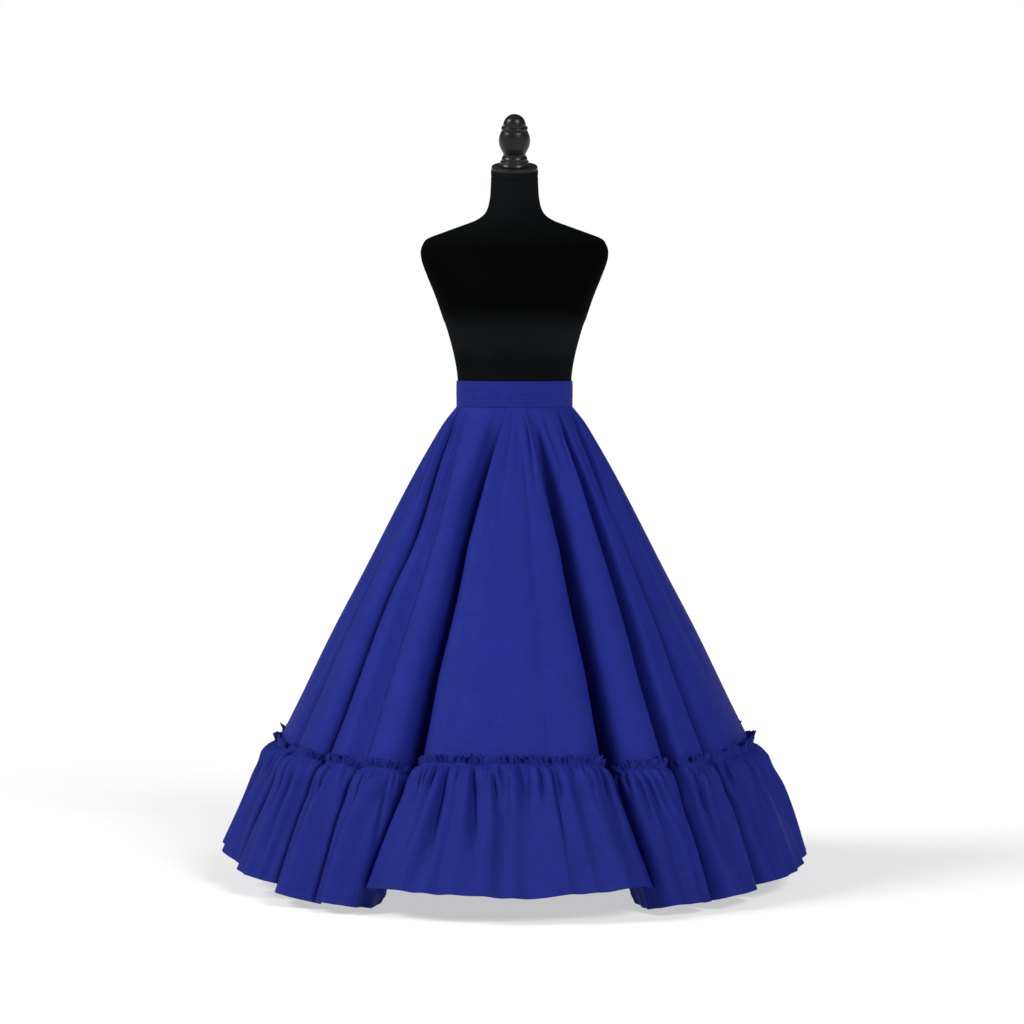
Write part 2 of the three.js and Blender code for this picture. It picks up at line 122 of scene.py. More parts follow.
# Azimuth at the seam, and how much lower the cloth hangs there at the ruffle's seam and at the hem.
drops = np.array([
    (-180, 4, 0), (-130, 8, 15), (-88, 14, -8), (-48, 20, 40), (-27, 12, 42), (-15, 4, 12),
    (0, 0, 12), (15, 4, 10), (26, 12, 40), (44, 20, 38), (90, 16, 12), (130, 4, -6), (180, 4, 0),
], float)

# The folds: azimuth by the waistband, at the seam and at the hem, half angle, depth at the seam,
# lean of the bottom, pinch of the lips, the slant where the fold begins, its bow to one side, and
# how late it deepens.
folds = np.array([
    (-169, -169, -170, 11, 90, 0, 0.5, 30, 0, 0.6),
    (-149, -149, -148, 11, 96, -0.1, 0.52, 15, 0.8, 0.55),
    (-132, -130, -131, 9, 66, 0, 0.4, 40, 0, 0.5),
    (-112, -111, -112, 11, 92, 0, 0.5, 20, -0.8, 0.6),
    (-93, -95, -94, 7, 42, 0.1, 0.4, 60, 0, 0.5),
    (-80, -69, -71, 6, 15, 0, 0.25, 60, 0, 0.7),
    (-68, -54, -56.5, 8.6, 116, 0.05, 0.56, 2, -1.5, 0.36),
    (-52, -40.5, -43, 5.5, 22, 0, 0.1, 6, 0, 0.5),
    (-9, -25.8, -34.5, 11.5, 108, -0.1, 0.42, 4, 2.8, 0.46),
    (12, 24.6, 33.5, 12, 110, -0.12, 0.46, 4, -2.4, 0.42),
    (44, 40.5, 41, 4.6, 74, 0, 0.25, 0, 3.2, 0.26),
    (66, 56, 58.5, 8.6, 116, 0, 0.56, 5, 0.6, 0.5),
    (98, 99, 98, 12, 98, -0.1, 0.54, 20, 0, 0.6),
    (116, 118, 119, 8, 50, 0, 0.46, 60, 0, 0.6),
    (137, 137, 136, 12, 108, 0.1, 0.54, 10, -0.8, 0.6),
    (160, 160, 160, 10, 76, -0.1, 0.52, 40, 0.6, 0.55),
], float)

# Room for the folds outside the form: slant, and room at the sides and at the front and back.
form_room = np.array([
    (0, 1.5, 1.5), (40, 8, 10), (80, 16, 22), (150, 34, 46), (230, 72, 84), (300, 400, 400),
    (1100, 400, 400),
], float)

# Lighter creases: azimuth by the waistband and at the seam, half angle, depth, and the slants
# where it begins and ends.
creases = np.array([
    (-78, -61, 2.4, 7, 8, 330), (-52, -47, 2.6, 8, 10, 420), (-40, -44, 2.2, 5, 200, 760),
    (4, 8, 2.2, 4, 60, 1100), (3, 2, 3.2, 3, 12, 240), (22, 13, 2.4, 6, 8, 220),
    (30, 33, 2.6, 7, 5, 330), (41, 36, 1.8, 4, 6, 200), (-3, -9, 2.6, 2.5, 8, 300),
    (58, 48, 2.2, 6, 4, 300), (76, 62, 2.0, 7, 5, 380), (84, 72, 2.6, 6, 20, 620),
    (-88, -76, 2.4, 7, 60, 700), (-58, -41, 2.0, 4, 4, 160), (-34, -15, 2.2, 3, 340, 760),
    (108, 110, 3.0, 7, 10, 330), (126, 127, 3.0, 6, 5, 420), (150, 150, 2.6, 7, 8, 300),
    (170, 171, 2.4, 5, 12, 500), (-104, -103, 2.8, 7, 8, 360), (-122, -121, 2.4, 6, 12, 460),
    (-140, -140, 2.6, 6, 6, 300), (-160, -160, 2.2, 6, 10, 420),
], float)
crease_fades_in = 60
crease_fades_out = 120

# The seams between the cut pieces, and the pieces from the left side round.
seam_azimuths = (-83, 78, 175, 277)
piece_names = ("front", "back_right", "back_left")

# The form's rings: height above the waistband's top, half width, depth to the front and to the back.
form_rings = np.array([
    (-262, 158, 108, 112), (-225, 164, 113, 118), (-165, 158, 108, 112), (-105, 138, 97, 96),
    (-55, 116.4, 84.4, 84.4), (0, 116.4, 84.4, 84.4), (42, 122, 89, 87), (91, 134, 104, 93),
    (140, 149.5, 120, 99), (176, 162, 125, 103), (214, 177.5, 112, 104), (245, 188.5, 92, 100),
    (265, 190.5, 78, 93), (279, 187, 70, 86), (290, 178, 65, 79), (303, 145, 61, 70),
    (316, 109, 58, 61), (328, 78, 56, 53), (342, 60, 53, 47), (366, 51.5, 51, 45.5),
    (400, 48.5, 51, 46), (432, 48, 51, 46),
], float)

# The turned finial: radius, and height above the neck cap.
finial_profile = (
    (0, 0.3), (30.6, 0.3), (31.4, 1.2), (31.6, 3), (29.8, 6.2), (29, 7.2), (28.8, 10), (26.6, 11.6),
    (26.2, 13), (26, 17), (24.6, 19), (23.2, 22), (22.8, 25.5), (25.5, 31), (30.2, 41), (32, 52),
    (30.6, 62), (27.2, 71), (25.6, 73), (25.6, 74.5), (26.8, 76.5), (27, 78.5), (26.2, 81),
    (23.4, 82.6), (23.2, 84.6), (22.2, 90), (18.6, 97.5), (12, 103.5), (5, 106.4), (0, 107),
)


def smooth(low, high, value):
    """A soft step from 0 at low to 1 at high."""
    t = np.clip((value - low) / (high - low), 0, 1)
    return t * t * (3 - 2 * t)


def reading(table, which, at):
    """Smooth reading of a table's column at places in its first column."""
    at = np.asarray(at, float)
    keys, values = table[:, 0], table[:, which]
    last = len(keys) - 1
    i = np.clip(np.searchsorted(keys, at, side="right"), 1, last)
    before, after = np.maximum(i - 2, 0), np.minimum(i + 1, last)
    span = keys[i] - keys[i - 1]
    t = (at - keys[i - 1]) / span
    slope_low = (values[i] - values[before]) / (keys[i] - keys[before])
    slope_high = (values[after] - values[i - 1]) / (keys[after] - keys[i - 1])
    return (
        (2 * t**3 - 3 * t**2 + 1) * values[i - 1]
        + (t**3 - 2 * t**2 + t) * span * slope_low
        + (3 * t**2 - 2 * t**3) * values[i]
        + (t**3 - t**2) * span * slope_high
    )


def grid(*parts):
    """Places from parts that broadcast."""
    return np.stack(np.broadcast_arrays(*parts), axis=-1)


def smooth_path(points, steps):
    """A curve through points, with this many steps between two of them."""
    knots = np.array([points[0], *points, points[-1]], float)
    path = []
    for a, b, c, d in zip(knots, knots[1:], knots[2:], knots[3:]):
        for t in np.arange(steps) / steps:
            path.append(0.5 * (2 * b + (c - a) * t + (2 * a - 5 * b + 4 * c - d) * t**2
                               + (3 * b - a - 3 * c + d) * t**3))
    return [*path, knots[-1]]


def wrapped(azimuth):
    """An azimuth from -180 to 180."""
    return (np.asarray(azimuth, float) + 180) % 360 - 180


def carried(azimuth, which):
    """Where the cloth that lies at this azimuth at the seam lies by the waistband or at the hem."""
    at_seam = np.concatenate(([-180], folds[:, 1], [180]))
    elsewhere = np.concatenate(([-180], folds[:, which], [180]))
    return np.interp(azimuth, at_seam, elsewhere)


def draped(azimuth, slant):
    """Places of the draped cloth seen from above, and how far each has sunk into a fold."""
    near_waist = np.maximum(0, 1 - slant / waist_drift) ** 2
    near_hem = np.maximum(0, (slant - ruffle_seam) / ruffle_length)
    angle = azimuth + (carried(azimuth, 0) - azimuth) * near_waist
    angle = angle + (carried(azimuth, 2) - angle) * near_hem
    bow = np.interp(azimuth, folds[:, 1], folds[:, 8])
    angle = angle + bow * np.sin(np.pi * np.clip(slant / fold_bow_slant, 0, 1))
    sink = np.zeros_like(angle)
    narrower = fold_share_at_waist + (1 - fold_share_at_waist) * smooth(0, fold_spread_slant, slant)
    for _, at_seam, _, half_angle, depth, lean, pinch, start, _, late in folds:
        half_angle = half_angle * narrower
        t = np.clip(wrapped(azimuth - at_seam) / half_angle, -1, 1)
        grown = np.maximum(0, slant - start) / (ruffle_seam - start)
        hollow = 0.5 + 0.5 * np.cos(np.pi * t)
        lips = np.sign(t) * np.sin(np.pi * t * t)
        sink = sink + depth * np.maximum(grown**late, grown) * hollow
        shut = np.minimum(1, grown * lips_closing)
        angle = angle + half_angle * shut * (lean * hollow - pinch * lips)
    for by_waist, at_seam, half_angle, depth, start, end in creases:
        away = (wrapped(azimuth - at_seam) - (by_waist - at_seam) * near_waist * 0.5) / half_angle
        share = smooth(start, start + crease_fades_in, slant) * smooth(end, end - crease_fades_out, slant)
        sink = sink + depth * share * np.exp(-np.abs(away) ** 1.5)
    # No fold sinks deeper than the room outside the form.
    turn = np.radians(angle)
    room = np.interp(slant, form_room[:, 0], form_room[:, 1]) * np.sin(turn) ** 2
    room = room + np.interp(slant, form_room[:, 0], form_room[:, 2]) * np.cos(turn) ** 2
    sink = sink * room / (sink**4 + room**4) ** 0.25
    x = (reading(envelope, 1, slant) - sink) * np.sin(turn)
    y = -(reading(envelope, 2, slant) - sink) * np.cos(turn)
    return x, y, sink


def hung(azimuths, slants):
    """Points of the draped cloth, one row for each slant and one column for each azimuth."""
    azimuth = wrapped(azimuths)[None, :]
    step = 8
    fine = np.arange(0, max(slants) + step, step, dtype=float)
    x, y, _ = draped(azimuth, fine[:, None])
    fallen = np.sqrt(np.maximum(0, step**2 - np.diff(x, axis=0) ** 2 - np.diff(y, axis=0) ** 2))
    heights = np.vstack([np.zeros_like(x[:1]), -np.cumsum(fallen, axis=0)])
    slant = np.asarray(slants, float)
    height = np.stack([np.interp(slant, fine, column) for column in heights.T], axis=1)
    down = slant[:, None]
    x, y, sink = draped(azimuth, np.maximum(down, 0))
    on_panel = np.clip(down / ruffle_seam, 0, 1) ** 2
    on_ruffle = np.maximum(0, (down - ruffle_seam) / ruffle_length)
    drop = reading(drops, 1, azimuth) * on_panel
    drop = drop + (reading(drops, 2, azimuth) - fold_lift * sink - drop) * on_ruffle
    height = height - drop + waist_top - band_height - seam_gap
    return grid(x, y, height)


def even_azimuths(pitch):
    """Azimuths of one round of columns, even along the folded cloth, and where each piece begins."""
    fine = np.linspace(seam_azimuths[0], seam_azimuths[-1], 7201)
    x, y, _ = draped(wrapped(fine), float(ruffle_seam))
    lengths = np.concatenate(([0], np.cumsum(np.hypot(np.diff(x), np.diff(y)))))
    azimuths, starts = [], [0]
    for low, high in zip(seam_azimuths, seam_azimuths[1:]):
        ends = np.interp([low, high], fine, lengths)
        count = round((ends[1] - ends[0]) / pitch)
        goals = np.linspace(*ends, count + 1)[:-1]
        azimuths.extend(np.interp(goals, lengths, fine))
        starts.append(len(azimuths))
    return np.array(azimuths), starts


def units(vectors):
    """The vectors at length 1."""
    return vectors / np.maximum(np.linalg.norm(vectors, axis=-1, keepdims=True), 1e-9)


def round_tangents(points):
    """Directions along each row of a closed round of columns."""
    return units(np.roll(points, -1, axis=1) - np.roll(points, 1, axis=1))


def facing(points):
    """Outward normals of a closed round of columns, rows from the top down."""
    return units(np.cross(round_tangents(points), -np.gradient(points, axis=0)))


def along_round(row):
    """Distance of each column along a closed row, and the whole length."""
    steps = np.linalg.norm(np.roll(row, -1, axis=0) - row, axis=1)
    return np.concatenate(([0], np.cumsum(steps)[:-1])), steps.sum()


def piece_columns(starts, which, count):
    """Columns of one cut piece, with the one that it shares with the next and its seam allowance."""
    return np.arange(starts[which], starts[which + 1] + 1 + seam_lap) % count


def seamed(places, out):
    """A piece's two edges drawn apart by the seam's gap, with the allowance behind the next piece."""
    edge = -1 - seam_lap
    places[:, -seam_lap:] -= out[:, -seam_lap:] * lap_depth
    for end, beside in ((0, 1), (edge, edge - 1)):
        places[:, end] += units(places[:, beside] - places[:, end]) * seam_gap / 2
    return places


# Meshes. A grid, a turned outline and a row of stitches make most of the object.
def finished(name, bm, material):
    """A piece with this mesh and material."""
    for face in bm.faces:
        face.smooth = True
    mesh = bpy.data.meshes.new(name)
    bm.to_mesh(mesh)
    bm.free()
    mesh.materials.append(material)
    piece = bpy.data.objects.new(name, mesh)
    bpy.context.scene.collection.objects.link(piece)
    return piece


def cloth_piece(name, places, cut, thick, material):
    """Cloth on a grid of places in millimetres, with its flat cut in metres as the UV map."""
    rows, columns = places.shape[:2]
    bm = bmesh.new()
    bmesh.ops.create_grid(bm, x_segments=columns - 1, y_segments=rows - 1, size=0.5)
    bm.loops.layers.uv.new("cut")
    for edge in bm.edges:
        edge.smooth = not edge.is_boundary
    piece = finished(name, bm, material)
    mesh = piece.data
    corners = np.empty(len(mesh.vertices) * 3)
    mesh.vertices.foreach_get("co", corners)
    corners = corners.reshape(-1, 3)
    column = np.rint((corners[:, 0] + 0.5) * (columns - 1)).astype(int)
    row = np.rint((0.5 - corners[:, 1]) * (rows - 1)).astype(int)
    mesh.vertices.foreach_set("co", (places[row, column] * MM).ravel())
    loops = np.empty(len(mesh.loops), int)
    mesh.loops.foreach_get("vertex_index", loops)
    mesh.uv_layers["cut"].uv.foreach_set("vector", cut[row[loops], column[loops]].ravel())
    mesh.update()
    wall = piece.modifiers.new("cloth", "SOLIDIFY")
    wall.thickness = thick * MM
    wall.offset = 0
    return piece


def turned_piece(name, outline, steps, material, place, sharp_degrees=40):
    """A turned piece from an outline of radii and heights, from the bottom up."""
    bm = bmesh.new()
    points = [bm.verts.new((radius * MM, 0, height * MM)) for radius, height in outline]
    edges = [bm.edges.new(pair) for pair in zip(points, points[1:])]
    bmesh.ops.spin(bm, geom=points + edges, axis=(0, 0, 1), cent=(0, 0, 0), dvec=(0, 0, 0),
                   angle=2 * math.pi, steps=steps, use_merge=True, use_duplicate=False)
    bmesh.ops.remove_doubles(bm, verts=bm.verts, dist=1e-6)
    bmesh.ops.recalc_face_normals(bm, faces=bm.faces)
    for edge in bm.edges:
        edge.smooth = edge.calc_face_angle(0) < math.radians(sharp_degrees)
    bmesh.ops.transform(bm, matrix=place, verts=bm.verts)
    return finished(name, bm, material)


def make_final(piece):
    """Makes the shape that its modifiers give it the piece's own mesh."""
    shape = bpy.data.meshes.new_from_object(
        piece.evaluated_get(bpy.context.evaluated_depsgraph_get()))
    piece.modifiers.clear()
    piece.data = shape


def stitch_row(name, points, directions, normals, length, material, width=0.55):
    """Short threads lying on the cloth at the given points: one is made, and the rest are its copies."""
    bm = bmesh.new()
    bmesh.ops.create_uvsphere(bm, u_segments=6, v_segments=4, radius=1,
                              matrix=Matrix.Rotation(math.pi / 2, 4, "Y"))
    piece = finished(name, bm, material)
    copies = piece.modifiers.new("copies", "ARRAY")
    copies.count = len(points)
    copies.use_relative_offset = False
    one = len(piece.data.vertices)
    make_final(piece)
    whole = piece.data
    shape = np.empty(len(whole.vertices) * 3)
    whole.vertices.foreach_get("co", shape)
    shape = shape.reshape(-1, one, 3) * (length / 2, width / 2, width / 2)
    turns = np.stack([directions, np.cross(normals, directions), normals], axis=1)
    lying = (shape @ turns + np.asarray(points)[:, None, :]) * MM
    whole.vertices.foreach_set("co", lying.ravel())
    whole.update()
    placed(piece)
    return piece


def along_row(points, normals, pitch):
    """Even places along a row of points, with their directions and normals."""
    lengths = np.concatenate(([0], np.cumsum(np.linalg.norm(np.diff(points, axis=0), axis=1))))
    goals = np.arange(pitch, lengths[-1] - pitch, pitch)

    def read(table, at):
        return np.stack([np.interp(at, lengths, table[:, i]) for i in range(3)], axis=1)

    directions = units(read(points, goals + pitch / 3) - read(points, goals - pitch / 3))
    out = read(normals, goals)
    out = units(out - directions * (out * directions).sum(axis=1, keepdims=True))
    return read(points, goals), directions, out


def placed(piece, node=None):
    """Every piece rides the one body, and the main ones stand for their solids."""
    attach(piece, "root")
    if node:
        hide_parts(node)


# Materials.
class Value:
    """A socket whose arithmetic adds Math nodes to its material."""

    def __init__(self, finish, socket):
        self.finish = finish
        self.socket = socket

    def maths(self, operation, *inputs):
        return self.finish.node("ShaderNodeMath", {"operation": operation}, dict(enumerate(inputs)))

    def __add__(self, other):
        return self.maths("ADD", self, other)

    def __sub__(self, other):
        return self.maths("SUBTRACT", self, other)

    def __mul__(self, other):
        return self.maths("MULTIPLY", self, other)

    def sine(self):
        return self.maths("SINE", self)

    __radd__ = __add__


class Finish:
    """A material, with one method that makes any node of it. Cloth's is laid out on its flat cut."""

    def __init__(self, name, of_cloth=False, **constants):
        self.of_cloth = of_cloth
        self.material = bpy.data.materials.new(name)
        self.material.use_nodes = True
        self.tree = self.material.node_tree
        self.shader = self.tree.nodes["Principled BSDF"]
        for socket, value in constants.items():
            self.shader.inputs[socket.replace("_", " ")].default_value = value

    def node(self, kind, settings=None, inputs=None, output=0):
        made = self.tree.nodes.new(kind)
        for name, value in (settings or {}).items():
            setattr(made, name, value)
        for key, value in (inputs or {}).items():
            self.feed(made.inputs[key], value)
        return Value(self, made.outputs[output])

    def feed(self, socket, value):
        if isinstance(value, Value):
            self.tree.links.new(value.socket, socket)
        else:
            socket.default_value = value

    def takes(self, **varying):
        for name, value in varying.items():
            self.feed(self.shader.inputs[name.replace("_", " ")], value)

    def colours(self, share, first, second):
        return self.node("ShaderNodeMix", {"data_type": "RGBA"},
                         {0: share, 6: (*first, 1), 7: (*second, 1)}, output=2)

    def place(self, stretch=(1, 1, 1)):
        if self.of_cloth:
            place = self.node("ShaderNodeUVMap", {"uv_map": "cut"})
        else:
            place = self.node("ShaderNodeTexCoord", output=3)
        return self.node("ShaderNodeMapping", {}, {"Vector": place, "Scale": stretch})

    def noise(self, stretch=(1, 1, 1), scale=1.0, detail=2.0, roughness=0.5):
        return self.node("ShaderNodeTexNoise", {}, {
            "Vector": self.place(stretch), "Scale": scale, "Detail": detail, "Roughness": roughness})

    def bump(self, height, distance, strength=1.0, under=None):
        inputs = {"Height": height, "Distance": distance, "Strength": strength}
        if under is not None:
            inputs["Normal"] = under
        return self.node("ShaderNodeBump", {}, inputs)


thread_spacing = 0.0009
cloth_shade = (0.0054, 0.0106, 0.128)
cloth_light = (0.0088, 0.0168, 0.192)


def cotton(name, lightness):
    """Plain-woven cotton of this lightness: crossing threads, slubs along them and an uneven dye."""
    finish = Finish(name, of_cloth=True, Specular_IOR_Level=0.1)
    place = finish.place()
    parts = [finish.node("ShaderNodeSeparateXYZ", {}, {0: place}, output=i) for i in (0, 1)]
    threads = [(part * (2 * math.pi / thread_spacing)).sine() for part in parts]
    weave = threads[0] * threads[1]
    slubs = finish.noise((900, 24, 1), 1.0, 3.0) + finish.noise((24, 900, 1), 1.0, 3.0)
    dye = finish.noise((1, 1, 1), 9.0, 4.0, 0.6)
    streaks = finish.noise((190, 22, 1), 1.0, 3.0, 0.6) + finish.noise((22, 190, 1), 1.0, 3.0, 0.6)
    mixed = dye * 0.8 + streaks * 0.9 + slubs * 0.3 + weave * 0.08 - 1.1
    shade = finish.node("ShaderNodeClamp", {}, {0: mixed})
    rubbed = finish.noise((40, 40, 1), 1.0, 4.0, 0.6)
    fine = finish.bump(weave * 0.5 + slubs * 1.4, 0.00012, 0.55)
    # A lightness below 1 makes a darker copy of the same cloth, as painted shade.
    colours = [[lightness * part for part in colour] for colour in (cloth_shade, cloth_light)]
    finish.takes(
        Base_Color=finish.colours(shade, *colours),
        Roughness=0.62 + rubbed * 0.16,
        Normal=finish.bump(rubbed, 0.0006, 0.35, fine),
    )
    return finish.material


def thread():
    """Twisted sewing thread."""
    finish = Finish("blue thread", Specular_IOR_Level=0.4)
    twist = finish.noise((900, 900, 900))
    finish.takes(Base_Color=finish.colours(twist, (0.009, 0.014, 0.12), (0.014, 0.022, 0.18)),
                 Roughness=0.5 + twist * 0.2, Normal=finish.bump(twist, 0.0001, 0.5))
    return finish.material


def velvet():
    """Short-pile velvet with an uneven nap, and painted sheen in bands by height."""
    finish = Finish("black velvet", Specular_IOR_Level=0.015)
    nap = finish.noise((9, 9, 5), 1.0, 4.0, 0.6)
    pile = finish.noise(scale=1400.0)
    height = finish.node("ShaderNodeSeparateXYZ", {}, {0: finish.place()}, output=2)
    height_with_nap = height + nap * 0.05

    def zone(start, end, most):
        return finish.node("ShaderNodeMapRange", {}, {0: height_with_nap, 1: start, 2: end, 3: 0, 4: most})

    # Painted sheen: the velvet is coloured paler on the neck and from the bust down, as the light catches
    # its nap there, and less pale just above the waistband. Heights are in metres.
    painted_sheen_zones = zone(1.20, 1.155, 1) + zone(1.32, 1.42, 0.8) - zone(1.12, 1.09, 0.45)
    # The painted sheen, with a little random tone from the pile, lightens the base colour.
    painted_sheen_and_pile = painted_sheen_zones * (0.4 + nap * 0.6 + pile * 0.3) + pile * 0.05
    finish.takes(
        Base_Color=finish.colours(painted_sheen_and_pile, (0.0006, 0.0006, 0.0006), (0.0060, 0.0065, 0.0072)),
        Roughness=0.72 + nap * 0.2,
        Normal=finish.bump(pile, 0.0004, 0.5, finish.bump(nap, 0.003, 0.25)),
    )
    return finish.material


def cap_paint():
    """Dark grey satin paint."""
    finish = Finish("satin grey cap", Coat_Weight=0.05, Coat_Roughness=0.3, Specular_IOR_Level=0.16)
    fine = finish.noise((60, 900, 60), 1.0, 3.0)
    finish.takes(Base_Color=finish.colours(fine, (0.006, 0.006, 0.006), (0.012, 0.012, 0.012)),
                 Roughness=0.42 + fine * 0.12, Normal=finish.bump(fine, 0.00005, 0.4))
    return finish.material


def turned_gloss():
    """Polished black lacquer over turned wood, with a faint trace of the turning and handling."""
    finish = Finish("black lacquer", Coat_Weight=0.22, Coat_Roughness=0.28, Specular_IOR_Level=0.14)
    rings = finish.noise((6, 6, 420))
    hands = finish.noise((30, 30, 30), 1.0, 4.0, 0.65)
    finish.takes(Base_Color=finish.colours(hands, (0.0035, 0.0035, 0.004), (0.009, 0.0088, 0.0085)),
                 Roughness=0.32 + hands * 0.12, Normal=finish.bump(rings + hands, 0.00025, 0.35))
    return finish.material


def stand_paint():
    """Black powder coat with its fine orange-peel texture."""
    finish = Finish("black powder coat", Specular_IOR_Level=0.45)
    peel = finish.noise(scale=900.0)
    dust = finish.noise((12, 12, 12), 1.0, 4.0, 0.65)
    finish.takes(Base_Color=finish.colours(dust, (0.006, 0.006, 0.0065), (0.02, 0.02, 0.02)),
                 Roughness=0.38 + dust * 0.2, Normal=finish.bump(peel, 0.0002, 0.5))
    return finish.material


def button_gloss():
    """Blue swirled plastic."""
    finish = Finish("blue button", Coat_Weight=0.4, Coat_Roughness=0.1)
    swirl = finish.noise((260, 40, 260), 1.0, 4.0, 0.7)
    finish.takes(Base_Color=finish.colours(swirl, (0.010, 0.017, 0.12), (0.022, 0.032, 0.21)),
                 Roughness=0.22 + swirl * 0.15, Normal=finish.bump(swirl, 0.0001, 0.3))
    return finish.material


def plain_floor():
    """A white floor, lit a little by itself so that it stays pale beside the skirt's shade."""
    finish = Finish("white floor", Specular_IOR_Level=0.0, Emission_Strength=0.53)
    finish.shader.inputs["Emission Color"].default_value = (1, 1, 1, 1)
    soft = finish.noise(scale=3.0)
    finish.takes(Base_Color=finish.colours(soft, (0.41, 0.41, 0.41), (0.43, 0.43, 0.43)),
                 Roughness=0.8 + soft * 0.1)
    return finish.material


# The camera and the studio.
def camera():
    """The photograph's view."""
    lens = bpy.data.cameras.new("camera")
    lens.sensor_width = 36
    lens.lens = focal_pixels / picture_pixels * lens.sensor_width
    lens.clip_end = 100
    lens.shift_x = (picture_pixels / 2 - middle_column) / picture_pixels
    eye = bpy.data.objects.new("camera", lens)
    eye.location = (0, -camera_distance, camera_height)
    pitch = math.atan((picture_pixels / 2 - horizon_row) / focal_pixels)
    eye.rotation_euler = (math.pi / 2 - pitch, 0, 0)
    bpy.context.scene.collection.objects.link(eye)
    bpy.context.scene.camera = eye


# Large soft lights far away, so that the floor is lit evenly: azimuth, elevation and spread in
# degrees, and strength.
lights = {
    "left light": (-74, 38, 22, 2.95),
    "right light": (34, 37, 22, 2.5),
}

# The walls are white below one height, and as dim as the ceiling above another.
walls = {"From Min": 0.1, "From Max": 0.17, "To Min": 1.0, "To Max": 0.1}
floor_half_size = 60


def sunlight(name, azimuth, elevation, spread, strength):
    """One of the large soft lights."""
    lamp = bpy.data.lights.new(name, "SUN")
    lamp.angle = math.radians(spread)
    lamp.energy = strength
    holder = bpy.data.objects.new(name, lamp)
    holder.rotation_euler = (math.radians(90 - elevation), 0, math.radians(azimuth))
    bpy.context.scene.collection.objects.link(holder)


def studio():
    """White low walls all round, a dim ceiling, two soft lights in front and a white floor."""
    world = bpy.data.worlds.new("studio")
    world.use_nodes = True
    tree = world.node_tree
    direction = tree.nodes.new("ShaderNodeTexCoord")
    height = tree.nodes.new("ShaderNodeSeparateXYZ")
    ceiling = tree.nodes.new("ShaderNodeMapRange")
    tree.links.new(direction.outputs["Generated"], height.inputs[0])
    tree.links.new(height.outputs["Z"], ceiling.inputs["Value"])
    for socket, value in walls.items():
        ceiling.inputs[socket].default_value = value
    tree.links.new(ceiling.outputs[0], tree.nodes["Background"].inputs["Strength"])
    tree.nodes["Background"].inputs["Color"].default_value = (1, 1, 1, 1)
    bpy.context.scene.world = world
    for name, light in lights.items():
        sunlight(name, *light)
    bm = bmesh.new()
    bmesh.ops.create_grid(bm, x_segments=8, y_segments=8, size=floor_half_size)
    floor = finished("floor", bm, plain_floor())
    bpy.context.scene.view_settings.view_transform = "Standard"


# The skirt's panels.
panel_slants = np.concatenate((np.linspace(0, 60, 11), np.linspace(70, 750, 69),
                               (757, 764, panel_length)))


def flat_sector(columns, rows_mm, top_length, seam_length):
    """Places in metres on the flat cut of a panel, and its width, length and area."""
    spread = (seam_length - top_length) / ruffle_seam
    inner = top_length / spread
    angle = (np.linspace(0, 1, columns) - 0.5) * spread
    radius = (inner + rows_mm)[:, None]
    cut = grid(radius * np.sin(angle), -radius * np.cos(angle)) * MM
    outer = inner + panel_length
    half = min(spread / 2, math.pi / 2)
    width = 2 * outer * math.sin(half) * MM
    length = (outer - inner * math.cos(spread / 2)) * MM
    area = spread * (outer**2 - inner**2) / 2 * MM**2
    return cut, width, length, area


def skirt_panels(cloth):
    """The three panels, tucked under the waistband, with a shallow groove along each side seam."""
    azimuths, starts = even_azimuths(panel_pitch)
    points = hung(azimuths, panel_slants)
    normals = facing(points)
    tuck_heights = (tucked_under_band, 2)
    tuck = points[0] * (1, 1, 0)
    tuck = np.stack([tuck + (0, 0, points[0, 0, 2] + up) for up in tuck_heights])
    rows_mm = np.concatenate((np.negative(tuck_heights), panel_slants))
    for which, name in enumerate(piece_names):
        columns = piece_columns(starts, which, len(azimuths))
        out = normals[:, columns]
        part = seamed(points[:, columns].copy(), out)
        for end in (0, -1 - seam_lap):
            part[:, end] -= out[:, end] * seam_groove
        whole = np.concatenate((tuck[:, columns], part))
        lengths = [np.linalg.norm(np.diff(row, axis=0), axis=1).sum()
                   for row in (part[0], part[-2])]
        cut, width, length, area = flat_sector(len(columns), rows_mm, *lengths)
        piece = cloth_piece(f"skirt_{name}_cloth", whole, cut, panel_thick, cloth)
        placed(piece, f"skirt_{name}")
        print(f"{name} panel: {width:.3f} x {length:.3f} m, {area:.3f} m2")


# The ruffle. Its rows are millimetres below the stitching, the header's above it, and the last ones
# turn up inside the hem.
ruffle_below = np.array([
    -15, -12, -9, -6, -3.4, -1.4, 0.2, 1.8, 4, 7, 11, 16, 22, 29, 37, 46, 56, 67, 79, 92, 106, 121,
    137, 153, 169, 185, 200, 214, 227, 237, 243, 246, 247.2, 248.6, 252, 255, 256.2,
], float)
hem_stitching = 247.2
hem_inside = np.array([255.4, 252, 247], float)
hem_turned_in = 1.5
hem_drawn_in = 0.35

# How far the ruffle stands out, by row: its crests, the depth of its creases, and its swell. All of
# it is drawn in by the last value well below the seam.
crest_rows = ((-15, -1.4, 1.8, 7, 16, 37, 92, 256), (0, 0, 4.6, 12, 19, 25, 27, 23))
crease_rows = ((-15, -1.4, 1.8, 7, 37, 92), (0, 0, 4.6, 12.0, 12.5, 7.5))
swell_rows = ((0, 12, 45, 110, 256), (0, 0.6, 3.4, 5.6, 5.0))
ruffle_drawn_in = 11

# Creases: the least and the most spacing, length and width, and the length over which they widen.
long_gathers = ((12, 38), (30, 330), (2.4, 5.2), 170)
short_gathers = ((7.5, 18), (24, 160), (2.4, 4.0), 60)
small_pleats = ((4.6, 9), (9, 44), (1.4, 2.2), 40)

